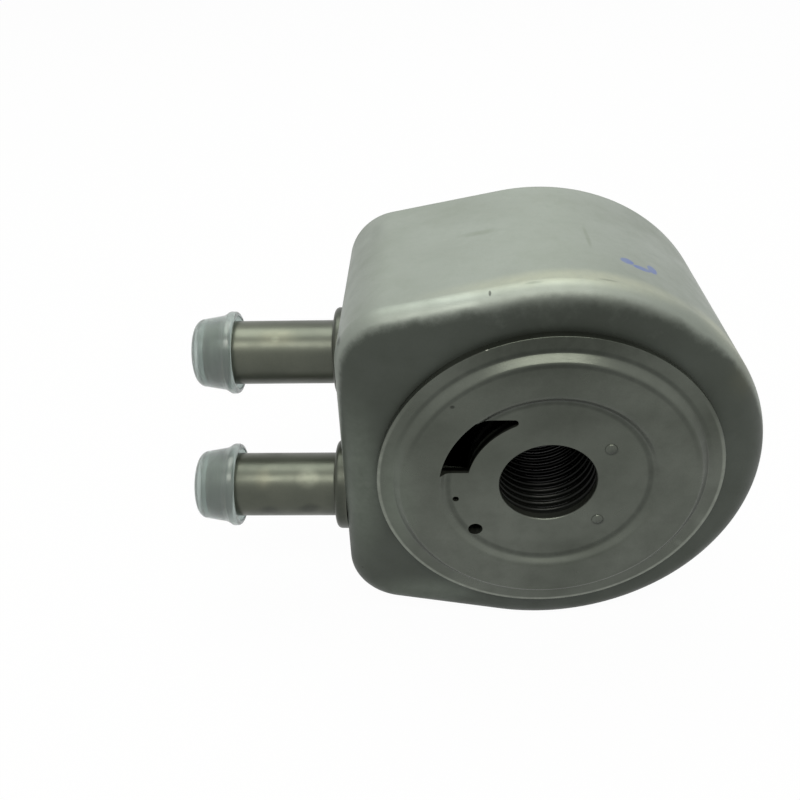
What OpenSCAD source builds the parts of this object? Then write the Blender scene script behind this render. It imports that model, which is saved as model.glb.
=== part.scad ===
// Engine oil cooler of the tank kind, clamped between an engine block and its oil filter.
// Oil enters through the crescent slot in the seat plate, spreads through a stack of dished
// plates and leaves on the filter side. Coolant fills the tank round the stack and passes
// through the two hose nipples. Millimetres, +Z up, the bore axis along Y.
// The origin is the centre of the bore's mouth, in the seat plate's outer plane.
// The engine side faces -Y, and the nipples point along -X.

/* [Tank] */
// Radius of the tank's round side
tank_r = 48.7; // [47.5:0.1:52]
// How far the flat side that carries the nipples lies inside that radius
flat_inset = 1.5; // [0.5:0.1:2.5]
// How far the tank's upper and lower ends lie inside it beside the flat side
end_inset = 5.7; // [5:0.1:8]
// Radius of the two corners beside the flat side
corner_r = 14.1; // [10:0.1:16]
// Depth of the drawn tank along the bore
tank_depth = 53.5; // [48:0.5:60]
// Sheet thickness of the tank
tank_wall = 1.5; // [1:0.1:2]
// Outer radius of the tank's drawn front edge
edge_r = 4.8; // [3:0.1:6]
// Thickness of the plate that closes the tank
back_t = 1.5; // [1:0.1:2]
// How far the tank's edge stands past that plate
lip_h = 0.6; // [0.3:0.1:1]

/* [Seat plate] */
// Radius of the engine side's seat plate
seat_r = 39; // [37.5:0.1:40.5]
// Sheet thickness of the seat plate
seat_t = 2; // [1.5:0.1:2.5]
// Radius of the raised seal land's foot
land_foot_r = 35.3; // [34.5:0.1:36]
// Radius at which the land's outer slope reaches its flat top
land_top_r = 33.7; // [32.5:0.1:34.2]
// Inner radius of the land, which is the wall of the oil recess
recess_r = 24.3; // [23.8:0.1:25]
// Height of the land over the plate
land_h = 1.6; // [1:0.1:2]
// Radius of the two pips in the recess
pip_r = 1.4; // [1:0.1:2]
// Height of the pips
pip_h = 0.45; // [0.2:0.05:0.8]
// Radius on which the pips lie
pip_ring_r = 16.4; // [15:0.1:18]
// Angles of the two pips round the bore
pip_angles = [38, -41.8];

/* [Bore and oil slots] */
// Radius of the bore in the seat plate and the filter plate
bore_r = 11; // [10.5:0.05:11.1]
// Inner radius of the crescent oil slot
slot_in_r = 18.4; // [18:0.1:19.5]
// Lower end of the slot over the bore axis
slot_low = 3.4; // [1:0.1:5]
// Upper end of the slot over the bore axis
slot_high = 18.2; // [16:0.1:18.6]
// Rounding of the slot's tip
slot_tip_r = 0.9; // [0.5:0.1:1.2]
// Radius of the small bleed hole
bleed_r = 0.75; // [0.5:0.05:1.2]
// Radius of the larger round hole
oil_hole_r = 1.7; // [1.2:0.05:2]
// Radius on which both round holes lie
hole_ring_r = 21.4; // [20.5:0.1:22]
// Angle of the bleed hole round the bore
bleed_a = 192; // [186:1:200]
// Angle of the larger hole round the bore
oil_hole_a = 221; // [212:1:222]

/* [Filter plate] */
// Radius of the filter side's seat plate
filter_r = 36; // [33:0.1:39]
// Thickness of the filter plate
filter_t = 2; // [1.5:0.1:2.5]
// Chamfer on its outer edge
filter_chamfer = 0.5; // [0.2:0.1:0.8]

/* [Core] */
// Number of oil units in the stack
unit_count = 11; // [9:1:12]
// Coolant gap between the oil units and the tank's flat side
core_gap = 3.2; // [2.5:0.1:4]
// Sheet thickness of the core plates
core_t = 0.6; // [0.4:0.05:0.7]
// Height of the coolant gap between two units
coolant_gap = 1.3; // [1:0.1:1.5]
// Inner radius of the rounded noses that line the bore
nose_in_r = 11.2; // [11.15:0.05:11.5]
// Radius of each nose's rounding
nose_r = 0.7; // [0.5:0.05:0.8]
// Middle radius of the oil manifolds through the stack
manifold_r = 21.4; // [21:0.1:21.8]
// Half width of the manifold openings
manifold_half_w = 3.4; // [3.2:0.1:3.6]
// Angle from a manifold's middle to the centre of its round end
manifold_half_a = 52; // [50:1:56]
// Angle of the inlet manifold's middle round the bore
manifold_mid_a = 168; // [166:1:170]
// Width of the pressed seat round each manifold opening
pad_margin = 1.1; // [0.9:0.1:1.4]
// Sheet thickness of the turbulators
fin_t = 0.3; // [0.2:0.05:0.4]
// Number of waves across a turbulator
fin_count = 4; // [3:1:5]

/* [Nipples] */
// Outer radius of the hose nipples
nipple_r = 8; // [7:0.1:8.5]
// Wall of the nipples
nipple_wall = 1.5; // [1:0.1:2]
// Free length of a nipple from the tank's flat side
nipple_len = 35.2; // [30:0.1:42]
// Height of the nipples over and under the bore axis
nipple_z = 14.2; // [13:0.1:16]
// Depth of the lower nipple behind the seat plate's plane
lower_nipple_y = 16.5; // [15:0.1:20]
// Depth of the upper nipple behind the seat plate's plane
upper_nipple_y = 34.7; // [30:0.1:38]
// Radius of the collar that seats on the tank
collar_r = 11.2; // [10.2:0.1:12]
// Thickness of the collar
collar_t = 3; // [2:0.1:4]
// Rounding of the collar's rim
collar_round = 1.2; // [0.5:0.1:1.5]
// Height of the low bead at the nipple's free end
bead_h = 0.2; // [0.15:0.05:0.35]
// Distance from the nipple's free end to the bead's middle
bead_back = 1.7; // [1.5:0.1:3]

/* [Protective caps] */
// Length of a cap
cap_len = 10.5; // [9.5:0.1:14]
// Length of nipple that a cap covers
cap_grip = 7.4; // [6.5:0.1:9.5]
// Thickness of a cap's closed end
cap_end_t = 1.2; // [0.8:0.1:1.4]
// Wall of a cap
cap_wall = 0.5; // [0.4:0.05:0.8]
// Growth of the cap's radius from its end to its rim
cap_taper = 0.8; // [0.6:0.1:1]
// Height of the bulged rim over the cap's wall
rim_h = 1; // [0.6:0.1:1.4]
// Length of the bulged rim
rim_len = 3.5; // [3:0.1:5]
// Rounding of the cap's closed end
cap_round = 2.2; // [1:0.1:2.6]

/* [Clearances] */
// Gap round a nipple's spigot in the tank wall
spigot_gap = 0.1; // [0.05:0.05:0.2]
// Gap between the back plate and the tank wall
back_gap = 0.1; // [0.05:0.05:0.2]
// Gap between a cap's grip and the nipple's end
cap_gap = 0.14; // [0.1:0.02:0.3]
// How much wider the tank's openings are than the seat plate's
opening_gap = 0.3; // [0.2:0.1:0.4]
// Gap between the baffle and the core
baffle_gap = 0.3; // [0.2:0.1:0.5]

/* [Hidden] */
$fn = 96;
// Cuts run this far past the faces that they open
past = 1;
// A slot's round end is this much smaller than the slot, so that it meets its sides cleanly
seam = 0.02;
// Steps of the tank's outline and of its rounded edge
round_steps = 60;
corner_steps = 10;
edge_steps = 6;

// Distances of the tank's flat side and of its ends from the bore axis
flat_x = tank_r - flat_inset;
flat_half_h = tank_r - end_inset;
tank_in_x = flat_x - tank_wall;
core_r = tank_in_x - core_gap;

// Depths behind the seat plate's outer plane
tank_front = seat_t;
tank_back = tank_front + tank_depth;
back_out = tank_back - lip_h;
back_in = back_out - back_t;
core_front = tank_front + tank_wall;
unit_pitch = (back_in - core_front) / unit_count;
half_pitch = unit_pitch / 2;
filter_out = back_out + filter_t;

// Corner centres of the tank's outline, and the angle at which the straight
// upper and lower sides leave the round side
corner_x = corner_r - flat_x;
corner_z = flat_half_h - corner_r;
corner_far = norm([corner_x, corner_z]);
tangent_a = atan2(corner_z, corner_x) - acos((tank_r - corner_r) / corner_far);

// Core sheets
web_at = coolant_gap / 2;
collar_in_r = nose_in_r + nose_r;
collar_out_r = nose_in_r + 2 * nose_r;
rim_flange = 1.4;
rim_slope = 1.2;
pad_half_w = manifold_half_w + pad_margin;
fin_in_r = manifold_r + pad_half_w + 1;
fin_out_r = core_r - rim_flange - rim_slope - 0.3;
fin_low = web_at + core_t;
fin_high = unit_pitch - fin_low;
fin_step = (fin_out_r - fin_in_r) / fin_count;
fin_crest = 0.6;
baffle_t = 1.5;

// Distances from the bore axis towards the nipples' free ends
spigot_in = tank_in_x - 0.7;
nipple_end = flat_x + nipple_len;
nipple_in_r = nipple_r - nipple_wall;
spigot_r = nipple_r - spigot_gap;
bead_half = 1.3;
cap_open = nipple_end - cap_grip;
cap_end = cap_open + cap_len;
grip_r = nipple_r + cap_gap;
cap_end_r = grip_r + cap_wall;
cap_body_r = cap_end_r + cap_taper;
rim_r = cap_body_r + rim_h;
mouth_r = cap_body_r - 0.05;
cap_shoulder = cap_open + rim_len;

// Oil slot: it reaches out to the recess wall, and its tip's rounding touches
// the slot's inner arc and its upper end
slot_out_r = recess_r - 0.1;
slot_tip_z = slot_high - slot_tip_r;
slot_tip_x = -sqrt(pow(slot_in_r + slot_tip_r, 2) - pow(slot_tip_z, 2));

unit_names = ["01", "02", "03", "04", "05", "06", "07", "08", "09", "10", "11", "12"];
used_units = [for (i = [0 : unit_count - 1]) unit_names[i]];

// Points of an arc in a profile
function arc_points(cx, cy, r, from, to, steps = 6) =
    [for (i = [0 : steps]) [cx + r * cos(from + (to - from) * i / steps),
                            cy + r * sin(from + (to - from) * i / steps)]];

function unit_front(i) = core_front + i * unit_pitch;

// Puts children that are drawn face up in XY on the bore axis, with their top to the engine
module on_bore() {
    rotate([90, 0, 0]) children();
}

// Flat sheet between two depths behind the seat plate's plane
module sheet(from, to) {
    translate([0, 0, -to]) linear_extrude(to - from) children();
}

// Solid turned on the bore axis from a profile of radius and depth
module turned() {
    rotate_extrude() mirror([0, 1]) children();
}

// Lays children that are drawn along +Z on a nipple's axis, pointing to -X
module on_nipple(y, z) {
    translate([0, y, z]) rotate([0, -90, 0]) children();
}

// The tank's outline drawn in by inset: the round side, two straight sides that leave
// it at a tangent, two corners and the flat side
function outline_points(inset) = concat(
    arc_points(0, 0, tank_r - inset, -tangent_a, tangent_a, round_steps),
    arc_points(corner_x, corner_z, corner_r - inset, tangent_a, 180, corner_steps),
    arc_points(corner_x, -corner_z, corner_r - inset, 180, 360 - tangent_a, corner_steps)
);

// The outline at each step of the rounded front edge and at the open end
function form_rings(inset, from, to, round_r) = concat(
    [for (i = [0 : edge_steps]) let (a = 90 * i / edge_steps)
        [for (p = outline_points(inset + round_r * (1 - sin(a)))) [p.x, p.y, -from - round_r * (1 - cos(a))]]],
    [[for (p = outline_points(inset)) [p.x, p.y, -to]]]
);

// Solid of the tank's outline between two depths, with the front edge rounded
module tank_form(inset, from, to, round_r) {
    rings = form_rings(inset, from, to, round_r);
    n = len(rings[0]);
    last = len(rings) - 1;
    polyhedron(
        points = [for (ring = rings) each ring],
        faces = concat(
            [[for (i = [n - 1 : -1 : 0]) i]],
            [for (k = [0 : last - 1], i = [0 : n - 1]) let (j = (i + 1) % n)
                [k * n + i, k * n + j, (k + 1) * n + j, (k + 1) * n + i]],
            [[for (i = [0 : n - 1]) last * n + i]]
        )
    );
}

// Crescent slot of the seat plate, grown by grow
module oil_slot(grow = 0) {
    far = 2 * slot_out_r;
    low = slot_low - grow;
    intersection() {
        difference() {
            circle(slot_out_r + grow);
            circle(slot_in_r - grow);
        }
        polygon([[-far, low], [low * slot_tip_x / slot_tip_z, low], [slot_tip_x, slot_tip_z],
                 [slot_tip_x, slot_high + grow], [-far, slot_high + grow]]);
    }
    translate([slot_tip_x, slot_tip_z]) circle(slot_tip_r + grow);
}

// The two small round holes, grown by grow
module oil_holes(grow = 0) {
    translate(hole_ring_r * [cos(bleed_a), sin(bleed_a)]) circle(bleed_r + grow);
    translate(hole_ring_r * [cos(oil_hole_a), sin(oil_hole_a)]) circle(oil_hole_r + grow);
}

// Round-ended crescent of a manifold on the inlet side
module manifold_shape(half_w) {
    intersection() {
        difference() {
            circle(manifold_r + half_w);
            circle(manifold_r - half_w);
        }
        polygon(concat([[0, 0]], [for (a = [-manifold_half_a, 0, manifold_half_a])
            2 * manifold_r * [cos(manifold_mid_a + a), sin(manifold_mid_a + a)]]));
    }
    for (side = [-1, 1])
        translate(manifold_r * [cos(manifold_mid_a + side * manifold_half_a), sin(manifold_mid_a + side * manifold_half_a)])
            circle(half_w - seam);
}

// Both manifolds
module manifolds(half_w) {
    manifold_shape(half_w);
    rotate(180) manifold_shape(half_w);
}

module tank_shell() {
    color("#9a9f97") on_bore() difference() {
        tank_form(0, tank_front, tank_back, edge_r);
        tank_form(tank_wall, core_front, tank_back + past, edge_r - tank_wall);
        sheet(tank_front - past, core_front + past) circle(nose_in_r + opening_gap);
        sheet(tank_front - past, core_front + past) oil_slot(opening_gap);
        sheet(tank_front - past, core_front + past) oil_holes(opening_gap);
        nipple_holes();
    }
}

// Holes in the flat side, in the face-up frame
module nipple_holes() {
    for (n = [[upper_nipple_y, nipple_z], [lower_nipple_y, -nipple_z]])
        translate([-flat_x - past, n[1], -n[0]]) rotate([0, 90, 0]) cylinder(r = nipple_r, h = tank_wall + 2 * past);
}

module back_plate() {
    color("#8f938c") on_bore() difference() {
        sheet(back_in, back_out) polygon(outline_points(tank_wall + back_gap));
        sheet(back_in - past, back_out + past) circle(nose_in_r + opening_gap);
        sheet(back_in - past, back_out + past) rotate(180) oil_slot(opening_gap);
    }
}

module seat_plate() {
    color("#7d827a") on_bore() difference() {
        union() {
            seat_pressing();
            for (a = pip_angles) pip(a);
        }
        sheet(-past, seat_t + past) oil_slot();
        sheet(-past, seat_t + past) oil_holes();
    }
}

// The seat plate's pressed section: flange, hollow seal land and oil recess
module seat_pressing() {
    flange_round = 0.5;
    top_round = 1;
    under_r = recess_r + 1.6;
    under_out = land_foot_r - 1.2;
    slope = land_foot_r - land_top_r;
    turned() polygon(concat(
        [[bore_r, 0], [recess_r - 0.35, 0]],
        [[recess_r, -0.4], [recess_r + 0.1, 0.7 - land_h]],
        arc_points(recess_r + 0.1 + 0.7, 0.7 - land_h, 0.7, 180, 270),
        arc_points(land_top_r - top_round * 0.45, top_round - land_h, top_round, 270, 318),
        [[land_foot_r, 0]],
        arc_points(seat_r - flange_round, flange_round, flange_round, 270, 360),
        [[seat_r, seat_t], [under_out, seat_t], [under_out - slope, seat_t - land_h],
         [under_r + 0.3, seat_t - land_h], [under_r, seat_t], [bore_r, seat_t]]
    ));
}

// Low rounded pip pressed up from the recess floor
module pip(at_a) {
    rotate([0, 0, at_a]) translate([pip_ring_r, 0, 0]) rotate_extrude()
        polygon(concat([[0, -0.2], [pip_r, -0.2], [pip_r, 0]],
                       arc_points(pip_r - pip_h, 0, pip_h, 0, 90), [[0, pip_h]]));
}

module filter_plate() {
    color("#7d827a") on_bore() difference() {
        turned() polygon([[bore_r, back_out], [filter_r, back_out], [filter_r, filter_out - filter_chamfer],
                          [filter_r - filter_chamfer, filter_out], [bore_r, filter_out]]);
        sheet(back_out - past, filter_out + past) rotate(180) oil_slot();
    }
}

module coolant_baffle() {
    corner = edge_r - tank_wall;
    color("#8a8e87") on_bore() translate([0, -baffle_t / 2, 0]) rotate([90, 0, 180]) linear_extrude(baffle_t)
        difference() {
            translate([core_r + baffle_gap, -back_in])
                square([tank_in_x - core_r - baffle_gap, back_in - core_front]);
            translate([tank_in_x - corner, -core_front - corner]) difference() {
                square(corner + past);
                circle(corner - seam);
            }
        }
}

module nipple(y, z) {
    color("#a9ada6") on_nipple(y, z) rotate_extrude() polygon(concat(
        [[nipple_in_r, spigot_in], [spigot_r, spigot_in], [spigot_r, flat_x], [collar_r, flat_x]],
        arc_points(collar_r - collar_round, flat_x + collar_t - collar_round, collar_round, 0, 90),
        arc_points(nipple_r + 0.5, flat_x + collar_t + 0.5, 0.5, 270, 180, 4),
        bead_points(),
        [[nipple_r, nipple_end - 0.4], [nipple_r - 0.4, nipple_end], [nipple_in_r, nipple_end]]
    ));
}

// Low rounded bead near the nipple's free end
function bead_points() =
    [for (i = [-6 : 6]) [nipple_r + bead_h * (1 + cos(i * 30)) / 2, nipple_end - bead_back + bead_half * i / 6]];

// Soft push-on cap with a closed end. It grips the nipple's end only: past the bead its
// wall flares out to a bulged rim round an open mouth
module cap(y, z) {
    color("#c9d2d2") on_nipple(y, z) rotate_extrude() polygon(concat(
        [[mouth_r, cap_open]],
        arc_points(rim_r - 0.8, cap_open + 0.8, 0.8, -90, 0),
        arc_points(rim_r - 1, cap_open + 1.5, 1, 0, 50, 4),
        [[cap_body_r + 0.15, cap_shoulder - 0.35], [cap_body_r, cap_shoulder]],
        arc_points(cap_end_r - cap_round, cap_end - cap_round, cap_round, 0, 90),
        [[0, cap_end], [0, cap_end - cap_end_t]],
        [[grip_r - 1, cap_end - cap_end_t], [grip_r, cap_end - cap_end_t - 0.9]],
        [[grip_r, nipple_end - 0.7], [cap_body_r - cap_wall, cap_shoulder]]
    ));
}

module upper_nipple() {
    nipple(upper_nipple_y, nipple_z);
}

module lower_nipple() {
    nipple(lower_nipple_y, -nipple_z);
}

module upper_cap() {
    cap(upper_nipple_y, nipple_z);
}

module lower_cap() {
    cap(lower_nipple_y, -nipple_z);
}

// Dished plate whose coolant side faces the engine, drawn from depth 0.
// Its collar lines half a unit's length of the bore and starts with a rounded nose.
module core_plate_front() {
    difference() {
        turned() union() {
            plate_collar(0);
            polygon([[collar_out_r - core_t, web_at], [core_r - rim_flange - rim_slope, web_at],
                     [core_r - rim_flange, half_pitch - core_t], [core_r, half_pitch - core_t],
                     [core_r, half_pitch], [core_r - rim_flange - core_t / 2, half_pitch],
                     [core_r - rim_flange - rim_slope - core_t / 2, web_at + core_t],
                     [collar_out_r - core_t, web_at + core_t]]);
        }
        sheet(-past, unit_pitch) manifolds(pad_half_w - core_t);
    }
    manifold_pad(0, core_t, web_at + core_t);
}

// The matching plate that closes the unit on its filter side
module core_plate_rear() {
    difference() {
        turned() union() {
            plate_collar(half_pitch);
            polygon([[collar_out_r - core_t, unit_pitch - web_at],
                     [core_r - rim_flange - rim_slope, unit_pitch - web_at],
                     [core_r - rim_flange, half_pitch + core_t], [core_r, half_pitch + core_t],
                     [core_r, half_pitch], [core_r - rim_flange - core_t / 2, half_pitch],
                     [core_r - rim_flange - rim_slope - core_t / 2, unit_pitch - web_at - core_t],
                     [collar_out_r - core_t, unit_pitch - web_at - core_t]]);
        }
        sheet(0, unit_pitch + past) manifolds(pad_half_w - core_t);
    }
    manifold_pad(unit_pitch - core_t, unit_pitch, unit_pitch - web_at - core_t);
}

// Collar with its nose, as a profile
module plate_collar(from) {
    translate([collar_in_r, from + nose_r]) circle(nose_r);
    translate([collar_in_r, from]) square([nose_r, 2 * nose_r]);
    translate([collar_out_r - core_t, from + nose_r]) square([core_t, half_pitch - nose_r]);
}

// Pressed seats round both manifold openings, with a wall back to the plate's web
module manifold_pad(from, to, web) {
    sheet(from, to) difference() {
        manifolds(pad_half_w);
        manifolds(manifold_half_w);
    }
    sheet(min(from, web), max(to, web)) difference() {
        manifolds(pad_half_w);
        manifolds(pad_half_w - core_t);
    }
}

// Sheet fin folded into flat-topped waves, turned round the bore
module turbulator_sheet() {
    top = [for (i = [0 : fin_count - 1]) each [
        [fin_in_r + i * fin_step, fin_low],
        [fin_in_r + i * fin_step + fin_crest, fin_low],
        [fin_in_r + (i + 0.5) * fin_step, fin_high - fin_t],
        [fin_in_r + (i + 0.5) * fin_step + fin_crest, fin_high - fin_t]]];
    bottom = [for (p = top) [p.x, p.y + fin_t]];
    turned() polygon(concat(top, [for (i = [len(bottom) - 1 : -1 : 0]) bottom[i]]));
}

module front_core_plate(i) {
    color("#9b9f98") on_bore() translate([0, 0, -unit_front(i)]) core_plate_front();
}

module rear_core_plate(i) {
    color("#8d918a") on_bore() translate([0, 0, -unit_front(i)]) core_plate_rear();
}

module turbulator(i) {
    color("#b3b6b0") on_bore() translate([0, 0, -unit_front(i)]) turbulator_sheet();
}

tank_shell();
back_plate();
seat_plate();
filter_plate();
coolant_baffle();
upper_nipple();
lower_nipple();
upper_cap();
lower_cap();
for (i = [0 : unit_count - 1]) {
    front_core_plate(i);
    rear_core_plate(i);
    turbulator(i);
}
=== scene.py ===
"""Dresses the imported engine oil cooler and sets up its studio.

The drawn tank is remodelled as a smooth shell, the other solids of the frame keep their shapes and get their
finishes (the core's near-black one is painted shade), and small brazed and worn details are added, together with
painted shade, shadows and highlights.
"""

import math

import bmesh
import bpy
from bpy.props import FloatProperty, FloatVectorProperty, PointerProperty
from mathutils import Matrix, Vector


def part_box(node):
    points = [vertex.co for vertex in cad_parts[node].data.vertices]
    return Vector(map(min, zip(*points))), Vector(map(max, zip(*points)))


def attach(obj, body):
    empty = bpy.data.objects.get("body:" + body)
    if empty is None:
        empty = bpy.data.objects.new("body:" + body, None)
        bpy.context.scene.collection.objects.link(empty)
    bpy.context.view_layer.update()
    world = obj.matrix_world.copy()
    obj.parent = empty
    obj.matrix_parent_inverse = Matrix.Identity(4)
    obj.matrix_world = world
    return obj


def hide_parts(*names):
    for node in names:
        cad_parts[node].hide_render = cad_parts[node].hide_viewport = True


bl_info = {
    "name": "Engine Oil Cooler",
    "version": (1, 0, 0),
    "blender": (4, 5, 0),
    "location": "View3D > Sidebar > Oil Cooler",
    "description": "Dresses a tank type engine oil cooler with its finishes and studio",
    "category": "Object",
}

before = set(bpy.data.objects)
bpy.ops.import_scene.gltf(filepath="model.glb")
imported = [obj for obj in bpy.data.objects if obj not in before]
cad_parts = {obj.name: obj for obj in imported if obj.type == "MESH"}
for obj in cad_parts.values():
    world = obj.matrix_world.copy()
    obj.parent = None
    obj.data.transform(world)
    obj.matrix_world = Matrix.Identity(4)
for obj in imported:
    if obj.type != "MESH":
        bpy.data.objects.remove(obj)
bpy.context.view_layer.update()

MM = 0.001
BORE_AXIS = Vector((0, 1, 0))


def hex_colour(text):
    """Linear colour with alpha from an sRGB hex value."""
    channels = [int(text[i : i + 2], 16) / 255 for i in (1, 3, 5)]
    return tuple(c / 12.92 if c <= 0.04045 else ((c + 0.055) / 1.055) ** 2.4 for c in channels) + (1.0,)


def length_setting(name, description, mm):
    """A length that a user may change, given here in millimetres."""
    return FloatProperty(name=name, description=description, default=mm * MM, min=0, unit="LENGTH", precision=5)


def colour_setting(name, description, text):
    """A colour that a user may change, given here as sRGB hex."""
    return FloatVectorProperty(
        name=name, description=description, default=hex_colour(text), size=4, min=0, max=1, subtype="COLOR"
    )


def add_node(tree, kind, inputs=None, **settings):
    """Adds one node with its settings. Each input is given as a value or as the socket that feeds it."""
    node = tree.nodes.new(kind)
    for name, value in settings.items():
        setattr(node, name, value)
    for key, value in (inputs or {}).items():
        if isinstance(value, bpy.types.NodeSocket):
            tree.links.new(value, node.inputs[key])
        else:
            node.inputs[key].default_value = value
    return node


def new_material(name):
    """An empty material with its output, its shader and the object's own coordinates."""
    material = bpy.data.materials.new(name)
    material.use_nodes = True
    tree = material.node_tree
    tree.nodes.clear()
    shader = add_node(tree, "ShaderNodeBsdfPrincipled")
    add_node(tree, "ShaderNodeOutputMaterial", inputs={"Surface": shader.outputs[0]})
    place = add_node(tree, "ShaderNodeTexCoord").outputs["Object"]
    return material, tree, shader, place


def per_mm(size):
    """Texture scale at which one feature is this many millimetres wide."""
    return 1 / (size * MM)


def spot_mask(tree, place, centre, half_size, soft=0.6, turn=0.0):
    """Mask of a soft-edged spot: centre and half sizes in mm, turned round Y in degrees."""
    mapping = add_node(
        tree,
        "ShaderNodeMapping",
        vector_type="TEXTURE",
        inputs={
            0: place,
            "Location": Vector(centre) * MM,
            "Rotation": (0, math.radians(turn), 0),
            "Scale": Vector(half_size) * MM,
        },
    )
    far = add_node(tree, "ShaderNodeVectorMath", operation="LENGTH", inputs={0: mapping.outputs[0]})
    ramp = add_node(
        tree,
        "ShaderNodeMapRange",
        interpolation_type="SMOOTHSTEP",
        inputs={0: far.outputs["Value"], 1: 1 - soft, 2: 1.0, 3: 1.0, 4: 0.0},
    )
    return ramp.outputs[0]


def ring_mask(tree, place, radius, half_width, low, high):
    """Mask of a soft ring round the bore: radius and half width in mm, fading in between two heights in mm."""
    flat = add_node(tree, "ShaderNodeVectorMath", operation="MULTIPLY", inputs={0: place, 1: (1, 0, 1)})
    far = add_node(tree, "ShaderNodeVectorMath", operation="LENGTH", inputs={0: flat.outputs[0]})
    off = add_node(
        tree, "ShaderNodeMath", operation="SUBTRACT", inputs={0: far.outputs["Value"], 1: radius * MM}
    )
    gap = add_node(tree, "ShaderNodeMath", operation="ABSOLUTE", inputs={0: off.outputs[0]})
    line = add_node(
        tree,
        "ShaderNodeMapRange",
        interpolation_type="SMOOTHSTEP",
        inputs={0: gap.outputs[0], 1: half_width * 0.2 * MM, 2: half_width * MM, 3: 1.0, 4: 0.0},
    )
    height = add_node(tree, "ShaderNodeSeparateXYZ", inputs={0: place}).outputs["Z"]
    side = add_node(
        tree, "ShaderNodeMapRange", inputs={0: height, 1: low * MM, 2: high * MM, 3: 0.0, 4: 1.0}
    )
    return add_node(
        tree, "ShaderNodeMath", operation="MULTIPLY", inputs={0: line.outputs[0], 1: side.outputs[0]}
    ).outputs[0]


def strongest(tree, masks):
    """The strongest of several masks at each point."""
    total = masks[0]
    for mask in masks[1:]:
        total = add_node(tree, "ShaderNodeMath", operation="MAXIMUM", inputs={0: total, 1: mask}).outputs[0]
    return total


def brazed_aluminium(name, base, shade, pale, metallic, roughness, grain, marks_and_painted_light=(), face=None):
    """Aluminium sheet as it leaves the brazing furnace: a dull grey oxide with faint clouds, a fine powdery grain,
    handling wear mixed with painted shade and highlights, and on the tank a face darkened by painted shade up to a
    ragged edge."""
    material, tree, shader, place = new_material(name)
    noises = {}
    for kind, size, detail, rough in (("cloud", 26, 2, 0.5), ("patch", 7, 4, 0.6), ("smudge", 2.2, 5, 0.65), ("grain", grain, 2, 0.7)):
        noises[kind] = add_node(
            tree,
            "ShaderNodeTexNoise",
            inputs={"Vector": place, "Scale": per_mm(size), "Detail": detail, "Roughness": rough},
        ).outputs[0]
    colour = base
    for kind, low, high, most, tone in (
        ("cloud", 0.36, 0.64, 0.9, pale),
        ("patch", 0.42, 0.78, 0.35, shade),
        ("grain", 0.3, 0.7, 0.14, shade),
    ):
        mask = add_node(tree, "ShaderNodeMapRange", inputs={0: noises[kind], 1: low, 2: high, 3: 0.0, 4: most})
        colour = add_node(
            tree, "ShaderNodeMix", data_type="RGBA", inputs={0: mask.outputs[0], 6: colour, 7: tone}
        ).outputs[2]
    # Painted shade: the tank's front face is darkened up to a ragged line just behind the drawn edge
    if face:
        depth = add_node(tree, "ShaderNodeSeparateXYZ", inputs={0: place}).outputs["Y"]
        height = add_node(tree, "ShaderNodeSeparateXYZ", inputs={0: place}).outputs["Z"]
        leaning = add_node(
            tree, "ShaderNodeMath", operation="MULTIPLY_ADD", inputs={0: height, 1: 0.07, 2: depth}
        ).outputs[0]
        ragged = add_node(
            tree, "ShaderNodeMath", operation="MULTIPLY_ADD", inputs={0: noises["smudge"], 1: 0.9 * MM, 2: leaning}
        ).outputs[0]
        wide = add_node(
            tree, "ShaderNodeMath", operation="MULTIPLY_ADD", inputs={0: noises["patch"], 1: 1.6 * MM, 2: ragged}
        ).outputs[0]
        mask = add_node(
            tree,
            "ShaderNodeMapRange",
            interpolation_type="SMOOTHSTEP",
            inputs={0: wide, 1: 6.0 * MM, 2: 7.5 * MM, 3: 1.0, 4: 0.0},
        ).outputs[0]
        colour = add_node(
            tree, "ShaderNodeMix", data_type="RGBA", blend_type="MULTIPLY", inputs={0: mask, 6: colour, 7: face}
        ).outputs[2]
    # Each spot or ring is real wear or ink, or painted shade or light, laid over the colour
    for tone, strength, broken, spots, rings in marks_and_painted_light:
        masks = [spot_mask(tree, place, *spot) for spot in spots]
        masks += [ring_mask(tree, place, *ring) for ring in rings]
        gaps = add_node(
            tree,
            "ShaderNodeMapRange",
            inputs={0: noises["smudge"], 1: 0.5 - broken, 2: 0.5 + broken, 3: 1 - 2 * broken, 4: 1.0},
        ).outputs[0]
        mask = add_node(
            tree, "ShaderNodeMath", operation="MULTIPLY", inputs={0: strongest(tree, masks), 1: gaps}
        ).outputs[0]
        mask = add_node(tree, "ShaderNodeMath", operation="MULTIPLY", inputs={0: mask, 1: strength}).outputs[0]
        colour = add_node(
            tree, "ShaderNodeMix", data_type="RGBA", inputs={0: mask, 6: colour, 7: hex_colour(tone)}
        ).outputs[2]
    rough = add_node(
        tree,
        "ShaderNodeMapRange",
        inputs={0: noises["patch"], 1: 0.3, 2: 0.7, 3: roughness - 0.05, 4: roughness + 0.07},
    ).outputs[0]
    grain_bump = add_node(
        tree,
        "ShaderNodeBump",
        inputs={"Strength": 0.35, "Distance": 0.03 * MM, "Height": noises["grain"]},
    )
    sheet_bump = add_node(
        tree,
        "ShaderNodeBump",
        inputs={"Strength": 0.4, "Distance": 0.3 * MM, "Height": noises["cloud"], "Normal": grain_bump.outputs[0]},
    )
    tree.links.new(colour, shader.inputs["Base Color"])
    tree.links.new(rough, shader.inputs["Roughness"])
    tree.links.new(sheet_bump.outputs[0], shader.inputs["Normal"])
    shader.inputs["Metallic"].default_value = metallic
    shader.inputs["Specular IOR Level"].default_value = 0.2
    return material


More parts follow.
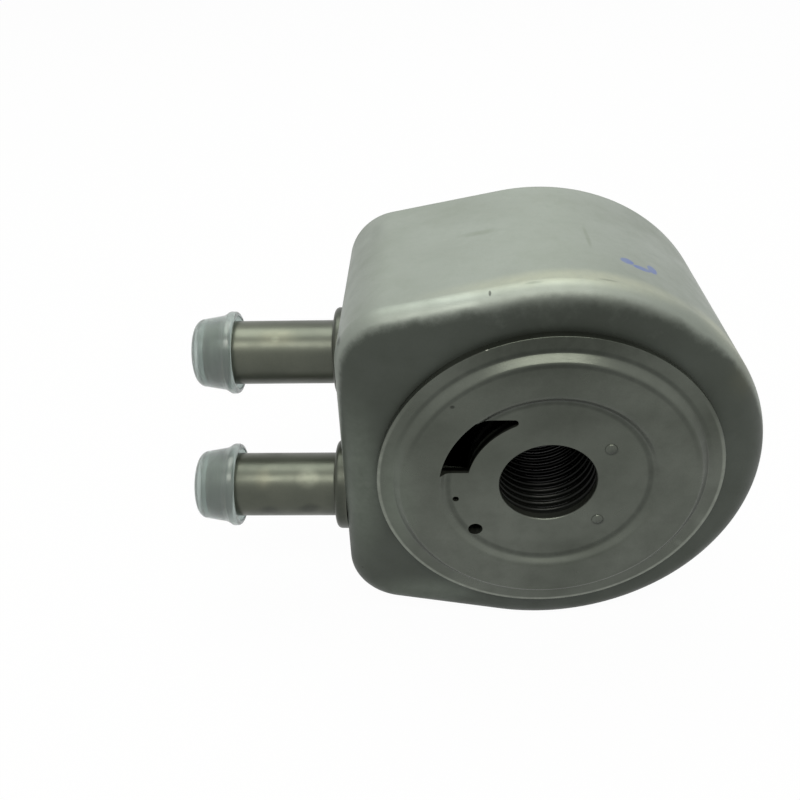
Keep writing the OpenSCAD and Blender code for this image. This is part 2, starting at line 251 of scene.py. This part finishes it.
def soft_polyethylene(name, colour, milk):
    """Low-density polyethylene cap: milky and see-through, with a waxy surface."""
    material, tree, shader, place = new_material(name)
    haze = add_node(
        tree, "ShaderNodeTexNoise", inputs={"Vector": place, "Scale": per_mm(5), "Detail": 2.0}
    ).outputs[0]
    tint = add_node(tree, "ShaderNodeMix", data_type="RGBA", inputs={0: haze, 6: colour, 7: milk}).outputs[2]
    tree.links.new(tint, shader.inputs["Base Color"])
    shader.inputs["Roughness"].default_value = 0.26
    shader.inputs["IOR"].default_value = 1.51
    shader.inputs["Transmission Weight"].default_value = 0.87
    return material


def finish_piece(name, mesh, material, body, replaced=(), sharp=32):
    """Makes a mesh a piece of the object: smooth faces, its finish, its body and what it stands for."""
    mesh.shade_smooth()
    mesh.set_sharp_from_angle(angle=math.radians(sharp))
    piece = bpy.data.objects.new(name, mesh)
    bpy.context.scene.collection.objects.link(piece)
    mesh.materials.clear()
    mesh.materials.append(material)
    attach(piece, body)
    if replaced:
        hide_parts(*replaced)
    return piece


def mesh_of(bm, name):
    """Turns a bmesh into a mesh and frees it."""
    mesh = bpy.data.meshes.new(name)
    bm.to_mesh(mesh)
    bm.free()
    return mesh


def profile_spin(bm, profile, axis, centre, across, steps):
    """Spins a closed profile of (radius, distance along the axis) in metres round an axis."""
    verts = [bm.verts.new(centre + across * radius + axis * along) for radius, along in profile]
    edges = [bm.edges.new((verts[i], verts[(i + 1) % len(verts)])) for i in range(len(verts))]
    bmesh.ops.spin(
        bm, geom=verts + edges, cent=centre, axis=axis, angle=math.tau, steps=steps, use_merge=True
    )
    bmesh.ops.remove_doubles(bm, verts=bm.verts, dist=1e-6)
    bmesh.ops.recalc_face_normals(bm, faces=bm.faces)


def cut(mesh, *cutters):
    """The mesh with the cutters' space taken out of it."""
    for cutter in cutters:
        body = bpy.data.objects.new("cut body", mesh)
        tool = bpy.data.objects.new("cut tool", cutter)
        for item in (body, tool):
            bpy.context.scene.collection.objects.link(item)
        take = body.modifiers.new("Cut", "BOOLEAN")
        take.operation = "DIFFERENCE"
        take.solver = "EXACT"
        take.object = tool
        graph = bpy.context.evaluated_depsgraph_get()
        mesh = bpy.data.meshes.new_from_object(body.evaluated_get(graph))
        for item in (body, tool):
            bpy.data.objects.remove(item)
    return mesh


def pull(bm, faces, move):
    """Pulls flat faces into a closed solid and points its faces outwards."""
    made = bmesh.ops.extrude_face_region(bm, geom=faces)
    bmesh.ops.translate(bm, verts=[v for v in made["geom"] if isinstance(v, bmesh.types.BMVert)], vec=move)
    bmesh.ops.recalc_face_normals(bm, faces=bm.faces)


def rod(radius, start, axis, length, steps=64):
    """Mesh of a plain round cutter."""
    bm = bmesh.new()
    turn = axis.to_track_quat("Z", "Y").to_matrix().to_4x4()
    bmesh.ops.create_circle(
        bm, cap_ends=True, radius=radius, segments=steps, matrix=Matrix.Translation(start) @ turn
    )
    pull(bm, bm.faces[:], axis * length)
    return mesh_of(bm, "rod")


def ring_sector(inner, outer, start, turn, low, length, steps=48):
    """Mesh of a cutter that is a sector of a ring round the bore, its angles in degrees."""
    bm = bmesh.new()
    at = math.radians(start)
    way = Vector((math.cos(at), 0, math.sin(at)))
    ends = [bm.verts.new(way * radius + BORE_AXIS * low) for radius in (inner, outer)]
    edge = bm.edges.new(ends)
    bmesh.ops.spin(
        bm, geom=[*ends, edge], cent=(0, 0, 0), axis=-BORE_AXIS, angle=math.radians(turn), steps=steps
    )
    pull(bm, bm.faces[:], BORE_AXIS * length)
    return mesh_of(bm, "ring sector")


def wear(node, *materials):
    """Gives a CAD node its finish."""
    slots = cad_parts[node].data.materials
    slots.clear()
    for material in materials:
        slots.append(material)


class OilCoolerTank(bpy.types.PropertyGroup):
    """Sizes and colours of the drawn tank."""

    corner_radius: length_setting("Corner radius", "Radius of the two corners beside the flat side", 14.1)
    flat_half_height: length_setting("Flat half height", "Half the tank's height beside the flat side", 43)
    edge_radius: length_setting("Edge radius", "Outer radius of the drawn front edge", 4.8)
    wall: length_setting("Wall", "Sheet thickness of the tank", 1.5)
    base: colour_setting("Aluminium", "Colour of the furnace-brazed sheet", "#838982")
    pale: colour_setting("Pale patches", "Colour of its lighter clouds", "#8c928c")
    shade: colour_setting("Dull patches", "Colour of its darker clouds", "#747a72")
    # Painted shade: tint that darkens the tank's front face
    face: colour_setting("Painted face shade", "Tint that darkens the tank's face", "#8f918e")


class OilCoolerPlates(bpy.types.PropertyGroup):
    """Colours of the two seat plates."""

    base: colour_setting("Aluminium", "Colour of the pressed plates", "#51554e")
    pale: colour_setting("Pale patches", "Colour of their lighter clouds", "#61655e")
    shade: colour_setting("Dull patches", "Colour of their darker clouds", "#3e413b")


class OilCoolerNipples(bpy.types.PropertyGroup):
    """Colours of the hose nipples and their caps."""

    metal: colour_setting("Turned aluminium", "Colour of the nipples", "#51544c")
    cap: colour_setting("Polyethylene", "Colour of the protective caps", "#b2beb9")
    cap_milk: colour_setting("Milky haze", "Colour of the caps' cloudier parts", "#c4cfcc")


class OilCoolerStage(bpy.types.PropertyGroup):
    """Camera, floor and light."""

    lens: FloatProperty(name="Lens", description="Focal length of the camera in mm", default=36.549, min=1)
    floor: colour_setting("Floor", "Colour of the floor", "#e2e2e2")
    backdrop: colour_setting("Backdrop", "Colour that the floor and the room show", "#ffffff")
    room: FloatProperty(name="Room light", description="Strength of the room's own light", default=0.05, min=0)
    top_power: FloatProperty(
        name="Top light", description="Power of the soft lamp over the object", default=8.5, min=0, subtype="POWER"
    )
    front_power: FloatProperty(
        name="Front light", description="Power of the soft lamp in front of it", default=5.8, min=0, subtype="POWER"
    )


def settings():
    """The scene's settings of the oil cooler."""
    return bpy.context.scene.oil_cooler


def outline(bm, tank_radius, flat_x, half_height, corner_radius, depth):
    """Draws the tank's D-shaped outline in the plane at this depth and returns its face."""
    corner_x = corner_radius - flat_x
    corner_z = half_height - corner_radius
    far = math.hypot(corner_x, corner_z)
    tangent = math.atan2(corner_z, corner_x) - math.acos((tank_radius - corner_radius) / far)
    arcs = [
        ((0, 0), tank_radius, -tangent, tangent, 150),
        ((corner_x, corner_z), corner_radius, tangent, math.pi, 28),
        ((corner_x, -corner_z), corner_radius, math.pi, math.tau - tangent, 28),
    ]
    loop = []
    for (x, z), radius, start, end, steps in arcs:
        centre = Vector((x, depth, z))
        first = bm.verts.new(centre + radius * Vector((math.cos(start), 0, math.sin(start))))
        made = bmesh.ops.spin(
            bm, geom=[first], cent=centre, axis=-BORE_AXIS, angle=end - start, steps=steps
        )
        last = made["geom_last"][0]
        if loop:
            bm.edges.new((loop[-1], first))
        loop += [first, last]
    bm.edges.new((loop[-1], loop[0]))
    return bmesh.ops.contextual_create(bm, geom=bm.edges)["faces"][0]


class OILCOOLER_OT_tank(bpy.types.Operator):
    """Models the deep-drawn tank as a smooth shell in place of its CAD solid"""

    bl_idname = "oil_cooler.tank"
    bl_label = "Drawn tank"

    def execute(self, context):
        own = settings().tank
        low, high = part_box("tank_shell")
        bm = bmesh.new()
        front = outline(bm, high.x, -low.x, own.flat_half_height, own.corner_radius, low.y)
        side = bmesh.ops.extrude_face_region(bm, geom=[front])
        bmesh.ops.translate(
            bm,
            verts=[v for v in side["geom"] if isinstance(v, bmesh.types.BMVert)],
            vec=BORE_AXIS * (high.y - low.y),
        )
        bmesh.ops.recalc_face_normals(bm, faces=bm.faces)
        rim = [e for e in bm.edges if all(abs(v.co.y - low.y) < 1e-6 for v in e.verts)]
        bmesh.ops.bevel(
            bm, geom=rim, offset=own.edge_radius, affect="EDGES", segments=12, profile=0.5, material=-1
        )
        back = [f for f in bm.faces if all(abs(v.co.y - high.y) < 1e-6 for v in f.verts)]
        bmesh.ops.delete(bm, geom=back, context="FACES_ONLY")
        face = max(bm.faces, key=lambda f: f.calc_area())
        bmesh.ops.inset_region(bm, faces=[face], thickness=0.4 * MM)
        bmesh.ops.solidify(bm, geom=bm.faces, thickness=own.wall)
        bmesh.ops.recalc_face_normals(bm, faces=bm.faces)
        mesh = cut(mesh_of(bm, "tank_body"), *tank_openings(low))
        mesh.name = "tank_body"
        material = tank_finish(own)
        piece = finish_piece("tank_body", mesh, material, "cooler", ["tank_shell"])
        piece.modifiers.new("Even shading", "WEIGHTED_NORMAL").keep_sharp = True
        return {"FINISHED"}


def tank_openings(low):
    """Cutters for the bore, the oil slot, the two small holes and the nipples' holes."""
    start = low.y - MM
    through = 4 * MM
    cutters = [
        rod(11.5 * MM, Vector((0, start, 0)), BORE_AXIS, through, 96),
        ring_sector(18.1 * MM, 24.5 * MM, 114, 59.5, start, through),
    ]
    for radius, angle in ((1.05, 192), (2.0, 221)):
        at = math.radians(angle)
        centre = Vector((math.cos(at) * 21.4 * MM, start, math.sin(at) * 21.4 * MM))
        cutters.append(rod(radius * MM, centre, BORE_AXIS, through, 32))
    for nipple in ("upper_nipple", "lower_nipple"):
        nipple_low, nipple_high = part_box(nipple)
        middle = (nipple_low + nipple_high) / 2
        cutters.append(rod(8 * MM, Vector((low.x - MM, middle.y, middle.z)), Vector((1, 0, 0)), through))
    return cutters


def tank_finish(own):
    """The tank's brazed aluminium with its face, upper face and front edge in painted shade, painted light on its
    left face and top, near-black painted shade round the bore, smudges, scratches and an ink dab.
    """
    marks_and_painted_light = [
        # Painted light: lighter grey over the left and lower left of the front face
        ("#7d867c", 0.4, 0.15, [((-44, 2, -2), (9, 9, 34), 0.9, 0), ((-28, 0, -38), (22, 6, 7), 0.9, 0)], ()),
        # Painted shade: darker upper part of the front face
        ("#2b2e29", 0.42, 0.1, [((0, 0, 42), (50, 3.6, 22), 0.8, 0)], ()),
        # Painted light: lighter, warmer top behind the front edge and upper right side
        ("#a3a592", 0.6, 0.25, [((4, 7.5, 46), (40, 4.2, 14), 0.8, 0), ((33, 8, 33), (14, 5, 14), 0.8, 0)], ()),
        # Painted shade: dark band along the top of the front edge rounding
        ("#2a2d27", 0.6, 0.35, [((5, 2.6, 46), (42, 1.4, 16), 0.9, 0)], ()),
        ("#59614f", 0.5, 0.4, [((-15, 33, 46.5), (7, 2.0, 5), 0.9, 8), ((8, 27, 48), (0.7, 8, 4), 0.8, 0)], ()),
        ("#4f564e", 0.6, 0.4, [((-6, 5.6, 48.5), (2.6, 0.5, 2), 0.7, 0), ((9, 6.8, 48), (2.8, 0.5, 2), 0.7, 0)], ()),
        ("#6b6a55", 0.4, 0.2, [((40, 10, 27), (8, 14, 9), 0.9, 0)], ()),
        ("#50584e", 0.5, 0.3, [((-39, 46, 38), (3, 9, 6), 0.8, 0), ((-46, 12, 0), (4, 8, 40), 0.9, 0)], ()),
        ("#232522", 0.85, 0.1, [((-14.6, 4.8, 46.4), (0.35, 0.8, 2), 0.5, 0), ((-45, 2, 27.4), (0.9, 0.6, 0.7), 0.6, 0)], ()),
        ("#232522", 0.8, 0.1, [((-44.1, 2, -29.6), (0.5, 0.6, 0.4), 0.6, 0), ((-46.5, 6, 35), (1.6, 2.2, 1.4), 0.6, 0)], ()),
        ("#2b4fae", 0.8, 0.45, [((15.2, 18.4, 46.3), (1.7, 1.6, 3), 0.3, 0), ((18.2, 17.0, 45.2), (2.4, 1.1, 3), 0.3, 0)], ()),
        ("#2b4fae", 0.8, 0.45, [((20.8, 18.6, 44.0), (1.2, 2.2, 3), 0.3, 0)], ()),
        # Painted shade: near-black tank walls round the bore and slot, seen through the plate
        ("#141513", 0.9, 0.0, [((0, 6, 0), (30, 5.2, 30), 0.3, 0)], ()),
    ]
    return brazed_aluminium(
        "Furnace-brazed drawn aluminium",
        tuple(own.base),
        tuple(own.shade),
        tuple(own.pale),
        metallic=0.5,
        roughness=0.48,
        grain=0.5,
        marks_and_painted_light=marks_and_painted_light,
        face=tuple(own.face),
    )


def seat_slot():
    """Mesh of the cutter for the crescent oil slot, with its two level ends."""
    mesh = ring_sector(18.4 * MM, 24.9 * MM, 116.3, 58, -3 * MM, 8 * MM, 60)
    bm = bmesh.new()
    bm.from_mesh(mesh)
    for height, up in ((3.4 * MM, -1), (18.2 * MM, 1)):
        made = bmesh.ops.bisect_plane(
            bm,
            geom=[*bm.verts, *bm.edges, *bm.faces],
            plane_co=(0, 0, height),
            plane_no=(0, 0, up),
            clear_outer=True,
        )
        rim = [item for item in made["geom_cut"] if isinstance(item, bmesh.types.BMEdge)]
        bmesh.ops.contextual_create(bm, geom=rim)
    bmesh.ops.recalc_face_normals(bm, faces=bm.faces)
    return mesh_of(bm, "seat slot")


def round_ring(bm, radius, depth, rounding, segments):
    """Rounds the ring of edges that lies at this radius and depth of a spun shape."""
    ring = [
        edge
        for edge in bm.edges
        if all(
            abs(math.hypot(v.co.x, v.co.z) - radius) < 1e-6 and abs(v.co.y - depth) < 1e-6 for v in edge.verts
        )
    ]
    bmesh.ops.bevel(
        bm, geom=ring, offset=rounding, affect="EDGES", segments=segments, profile=0.5, material=-1
    )


def seat_plate_mesh():
    """The pressed seat plate: flange, seal land, recess, bore, oil slot and small holes; the two pips are separate
    pieces.
    """
    corners = [
        (11.0, 2.0, 0),
        (11.0, 0.0, 0.6),
        (23.3, 0.0, 0.6),
        (24.9, -1.5, 0.8),
        (32.8, -1.5, 0.3),
        (33.6, -1.6, 0.3),
        (35.3, 0.0, 0.2),
        (39.0, 0.0, 0.22),
        (39.0, 2.0, 0),
    ]
    bm = bmesh.new()
    profile_spin(bm, [(r * MM, y * MM) for r, y, _ in corners], BORE_AXIS, Vector(), Vector((1, 0, 0)), 240)
    for radius, depth, rounding in corners:
        if rounding:
            round_ring(bm, radius * MM, depth * MM, rounding * MM, 5)
    mesh = mesh_of(bm, "seat plate")
    cutters = [seat_slot(), rod(0.9 * MM, Vector((-8.55, -3, 17.3)) * MM, BORE_AXIS, 8 * MM, 48)]
    for radius, angle in ((0.75, 192), (1.7, 221)):
        at = math.radians(angle)
        centre = Vector((math.cos(at) * 21.4, -3, math.sin(at) * 21.4)) * MM
        cutters.append(rod(radius * MM, centre, BORE_AXIS, 8 * MM, 48))
    return cut(mesh, *cutters)


def pip_mesh(angle):
    """A low rounded pip pressed up from the recess floor."""
    at = math.radians(angle)
    centre = Vector((math.cos(at), 0, math.sin(at))) * 16.4 * MM
    bm = bmesh.new()
    bmesh.ops.create_uvsphere(bm, u_segments=32, v_segments=16, radius=1.4 * MM)
    bmesh.ops.scale(bm, verts=bm.verts, vec=(1, 0.45, 1))
    bmesh.ops.translate(bm, verts=bm.verts, vec=centre + Vector((0, 0.05, 0)) * MM)
    return mesh_of(bm, "pip")


class OILCOOLER_OT_plates(bpy.types.Operator):
    """Models the pressed seat plate with its soft corners and finishes the other two plates"""

    bl_idname = "oil_cooler.plates"
    bl_label = "Seat plates"

    def execute(self, context):
        own = settings().plates
        # Spots of painted shadow just below and right of the two pips
        pips = [((13.2, 0, 9.6), (1.7, 0.8, 1.6), 0.5, 0), ((12.5, 0, -11.4), (1.7, 0.8, 1.6), 0.5, 0)]
        marks_and_painted_light = [
            # Painted shade: darker upper part of the plate
            ("#2c2f29", 0.6, 0.1, [((0, 0, 38), (38, 5, 17), 0.8, 0)], ()),
            # Painted shade: darker upper recess
            ("#2c2f29", 0.38, 0.05, [((2, 0, 20), (24, 5, 13), 1.0, 0)], ()),
            # Painted highlight: lighter band on the upper slope and on the lower recess wall
            ("#7b8077", 0.3, 0.1, (), [(34.4, 1.3, 8, 30), (24.2, 0.9, -6, -20)]),
            # Painted shade: dark lines in the recess floor's corner and at the top and foot of the upper slope
            ("#2c2f2b", 0.5, 0.2, (), [(22.8, 1.0, -45, -44), (32.9, 0.8, 5, 28), (35.8, 0.8, 5, 28)]),
            # Painted shadow beside the two pips
            ("#232522", 0.55, 0.1, pips, ()),
            # Painted light: lighter left side of the plate
            ("#6f786d", 0.45, 0.2, [((-34, 0, -4), (7, 4, 22), 0.9, 0)], ()),
            ("#33362f", 0.3, 0.2, [((8, 0, -20), (20, 4, 4), 0.9, 0), ((35, 0, 16), (8, 4, 16), 0.9, 0)], ()),
            # Bright dots along the lower flange edge: scratches with painted glints on them
            ("#9a9f95", 0.7, 0.45, (), [(38.6, 0.6, 24, 4)]),
            # Bright streaks at the lower right: scratches with painted glints on them
            ("#7d8279", 0.4, 0.45, [((33.2, 0, -19.2), (3.5, 2, 1.2), 0.9, 35), ((36.3, 0, -12), (2.2, 2, 4), 0.9, 0)], ()),
            ("#b9bbb0", 0.7, 0.1, [((-15.1, 0.2, 35.9), (0.4, 0.3, 0.16), 0.6, -20)], ()),
            ("#1d1f1c", 0.8, 0.1, [((-22, -1.6, 22.9), (0.7, 0.6, 0.6), 0.6, 0)], ()),
            # Painted shade: near-black bore and slot walls of the plate
            ("#0b0c0a", 0.95, 0.0, [((-16, 3.4, 12), (26, 3.2, 26), 0.2, 0)], ()),
        ]
        material = brazed_aluminium(
            "Pressed aluminium plate",
            tuple(own.base),
            tuple(own.shade),
            tuple(own.pale),
            metallic=0.8,
            roughness=0.31,
            grain=0.4,
            marks_and_painted_light=marks_and_painted_light,
        )
        finish_piece(
            "seat_pressing", seat_plate_mesh(), material, "cooler", ["seat_plate"], sharp=40
        ).modifiers.new("Even shading", "WEIGHTED_NORMAL").keep_sharp = True
        for name, angle in (("upper_pip", 38), ("lower_pip", -41.8)):
            finish_piece(name, pip_mesh(angle), material, "cooler")
        for node in ("filter_plate", "back_plate"):
            wear(node, material)
        return {"FINISHED"}


class OILCOOLER_OT_core(bpy.types.Operator):
    """Gives the stacked core plates, turbulators and baffle a near-black finish, painted shade for the inside of the
    bore and slot
    """

    bl_idname = "oil_cooler.core"
    bl_label = "Plate core"

    def execute(self, context):
        own = settings().plates
        # Painted shade: the core aluminium is coloured near black so the bore and slot read as deep shade
        material = brazed_aluminium(
            "Clad aluminium core sheet in painted shade",
            hex_colour("#141513"),
            hex_colour("#0d0e0c"),
            hex_colour("#1b1d1a"),
            metallic=0.4,
            roughness=0.25,
            grain=0.4,
        )
        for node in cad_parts:
            if "core_plate" in node or node.startswith("turbulator") or node == "coolant_baffle":
                wear(node, material)
        return {"FINISHED"}


class OILCOOLER_OT_nipples(bpy.types.Operator):
    """Gives the hose nipples and their protective caps their finish"""

    bl_idname = "oil_cooler.nipples"
    bl_label = "Hose nipples and caps"

    def execute(self, context):
        own = settings().nipples
        metal = brazed_aluminium(
            "Turned aluminium nipple",
            tuple(own.metal),
            hex_colour("#41453f"),
            hex_colour("#5e6157"),
            metallic=0.65,
            roughness=0.35,
            grain=0.4,
            marks_and_painted_light=[
                # Painted light: lighter, warmer tops of the two nipples
                ("#7a7a69", 0.5, 0.35, [((-64, 30.6, 21.4), (7, 4, 3), 0.9, 0), ((-68, 11.5, -8), (3, 4, 4), 0.9, 0)], ()),
                # Painted highlights: bright patches on the tops of the nipples
                ("#a3a796", 0.3, 0.45, [((-57, 11.5, -8.0), (3.6, 3, 3.6), 0.6, 35), ((-64.5, 30, 21), (1.6, 1.2, 1.0), 0.7, 0)], ()),
                ("#26292a", 0.6, 0.3, [((-67, 9.3, -16), (3.6, 3, 2.4), 0.8, 0), ((-57, 9.2, -15.4), (4.0, 3, 2.2), 0.7, -15)], ()),
                # Darker collars at the tank's side: dark braze joints with painted shade round them
                ("#30332e", 0.6, 0.2, [((-48.7, 34.7, 14.2), (2.4, 16, 16), 0.3, 0), ((-48.7, 16.5, -14.2), (2.4, 16, 16), 0.3, 0)], ()),
            ],
        )
        plastic = soft_polyethylene("Low-density polyethylene cap", tuple(own.cap), tuple(own.cap_milk))
        for side in ("upper", "lower"):
            wear(f"{side}_nipple", metal)
            wear(f"{side}_cap", plastic)
        return {"FINISHED"}


class OILCOOLER_OT_stage(bpy.types.Operator):
    """Sets up the floor, the room, the soft light and the camera"""

    bl_idname = "oil_cooler.stage"
    bl_label = "Studio stage"

    def execute(self, context):
        own = settings().stage
        scene = context.scene
        scene.view_settings.view_transform = "Standard"
        make_floor(own)
        make_room(scene, own)
        middle = Vector((0, 0.02, 0))
        aim_lamp("Top softbox", Vector((-0.05, 0.34, 0.9)), middle, (0.85, 0.62), own.top_power, "#fafdf5")
        aim_lamp("Front softbox", Vector((0.0, -0.45, 0.85)), middle, (0.8, 0.25), own.front_power, "#fffdf4")
        place_camera(scene, own)
        return {"FINISHED"}


def backdrop_factor(tree):
    """One on rays that see the backdrop, straight or in metal and clear plastic, and none on others."""
    path = add_node(tree, "ShaderNodeLightPath").outputs
    seen = path["Is Camera Ray"]
    for kind in ("Is Glossy Ray", "Is Transmission Ray"):
        seen = add_node(tree, "ShaderNodeMath", operation="MAXIMUM", inputs={0: seen, 1: path[kind]}).outputs[0]
    return seen


def make_floor(own):
    """A wide pale floor at the height on which the tank's round side stands."""
    bm = bmesh.new()
    bmesh.ops.create_circle(bm, cap_ends=True, radius=6, segments=64)
    bmesh.ops.translate(bm, verts=bm.verts, vec=Vector((0, 0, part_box("tank_shell")[0].z)))
    floor = bpy.data.objects.new("studio_floor", mesh_of(bm, "studio_floor"))
    bpy.context.scene.collection.objects.link(floor)
    material = bpy.data.materials.new("Matt studio floor")
    material.use_nodes = True
    tree = material.node_tree
    tree.nodes.clear()
    matt = add_node(tree, "ShaderNodeBsdfDiffuse", inputs={"Color": tuple(own.floor)})
    glow = add_node(tree, "ShaderNodeEmission", inputs={"Color": tuple(own.backdrop), "Strength": 1.0})
    share = add_node(
        tree, "ShaderNodeMath", operation="MULTIPLY", inputs={0: backdrop_factor(tree), 1: 0.975}
    ).outputs[0]
    mix = add_node(
        tree, "ShaderNodeMixShader", inputs={0: share, 1: matt.outputs[0], 2: glow.outputs[0]}
    )
    add_node(tree, "ShaderNodeOutputMaterial", inputs={"Surface": mix.outputs[0]})
    floor.data.materials.append(material)


def make_room(scene, own):
    """An even room light, which the camera sees as the backdrop."""
    world = bpy.data.worlds.new("Studio room")
    scene.world = world
    world.use_nodes = True
    tree = world.node_tree
    tree.nodes.clear()
    room = add_node(
        tree, "ShaderNodeBackground", inputs={"Color": hex_colour("#f4f8f2"), "Strength": own.room}
    )
    shown = add_node(tree, "ShaderNodeBackground", inputs={"Color": tuple(own.backdrop), "Strength": 1.0})
    mix = add_node(
        tree,
        "ShaderNodeMixShader",
        inputs={0: backdrop_factor(tree), 1: room.outputs[0], 2: shown.outputs[0]},
    )
    add_node(tree, "ShaderNodeOutputWorld", inputs={"Surface": mix.outputs[0]})


def aim_lamp(name, place, target, size, power, colour):
    """Adds a rectangular soft lamp that points at the target."""
    data = bpy.data.lights.new(name, "AREA")
    data.shape = "RECTANGLE"
    data.size, data.size_y = size
    data.energy = power
    data.color = hex_colour(colour)[:3]
    lamp = bpy.data.objects.new(name, data)
    lamp.location = place
    lamp.rotation_mode = "QUATERNION"
    lamp.rotation_quaternion = (target - place).to_track_quat("-Z", "Y")
    bpy.context.scene.collection.objects.link(lamp)


def place_camera(scene, own):
    """The camera at the photograph's viewing angle."""
    forward = Vector((-0.03706727, 0.81272147, -0.58147212)).normalized()
    right = Vector((0.99928277, 0.02563653, -0.02786948))
    right = (right - forward * right.dot(forward)).normalized()
    up = right.cross(forward)
    data = bpy.data.cameras.new("Photograph's view")
    data.sensor_width = 36
    data.lens = own.lens
    data.clip_start = 0.005
    camera = bpy.data.objects.new("Photograph's view", data)
    turn = Matrix((right, up, -forward)).transposed().to_4x4()
    camera.matrix_world = Matrix.Translation(Vector((-26.656, -139.484, 123.581)) * MM) @ turn
    scene.collection.objects.link(camera)
    scene.camera = camera


class OilCoolerSettings(bpy.types.PropertyGroup):
    """All the settings of the oil cooler."""

    tank: PointerProperty(type=OilCoolerTank, name="Tank", description="The drawn tank")
    plates: PointerProperty(type=OilCoolerPlates, name="Plates", description="The pressed plates")
    nipples: PointerProperty(type=OilCoolerNipples, name="Nipples", description="Nipples and caps")
    stage: PointerProperty(type=OilCoolerStage, name="Stage", description="Camera, floor and light")


OPERATORS = (
    OILCOOLER_OT_tank,
    OILCOOLER_OT_plates,
    OILCOOLER_OT_core,
    OILCOOLER_OT_nipples,
    OILCOOLER_OT_stage,
)


class OILCOOLER_PT_panel(bpy.types.Panel):
    """Lists the pieces of the oil cooler"""

    bl_idname = "OILCOOLER_PT_panel"
    bl_label = "Engine Oil Cooler"
    bl_space_type = "VIEW_3D"
    bl_region_type = "UI"
    bl_category = "Oil Cooler"

    def draw(self, context):
        for operator in OPERATORS:
            self.layout.operator(operator.bl_idname)


CLASSES = (
    OilCoolerTank,
    OilCoolerPlates,
    OilCoolerNipples,
    OilCoolerStage,
    OilCoolerSettings,
    *OPERATORS,
    OILCOOLER_PT_panel,
)


def register():
    """Registers the add-on's classes and its settings."""
    for item in CLASSES:
        bpy.utils.register_class(item)
    bpy.types.Scene.oil_cooler = PointerProperty(type=OilCoolerSettings)


def unregister():
    """Takes the settings and the classes away again."""
    del bpy.types.Scene.oil_cooler
    for item in reversed(CLASSES):
        bpy.utils.unregister_class(item)


def main():
    """Registers the add-on, makes every piece and sets up the stage."""
    register()
    bpy.ops.oil_cooler.tank()
    bpy.ops.oil_cooler.plates()
    bpy.ops.oil_cooler.core()
    bpy.ops.oil_cooler.nipples()
    bpy.ops.oil_cooler.stage()


if __name__ == "__main__":
    main()
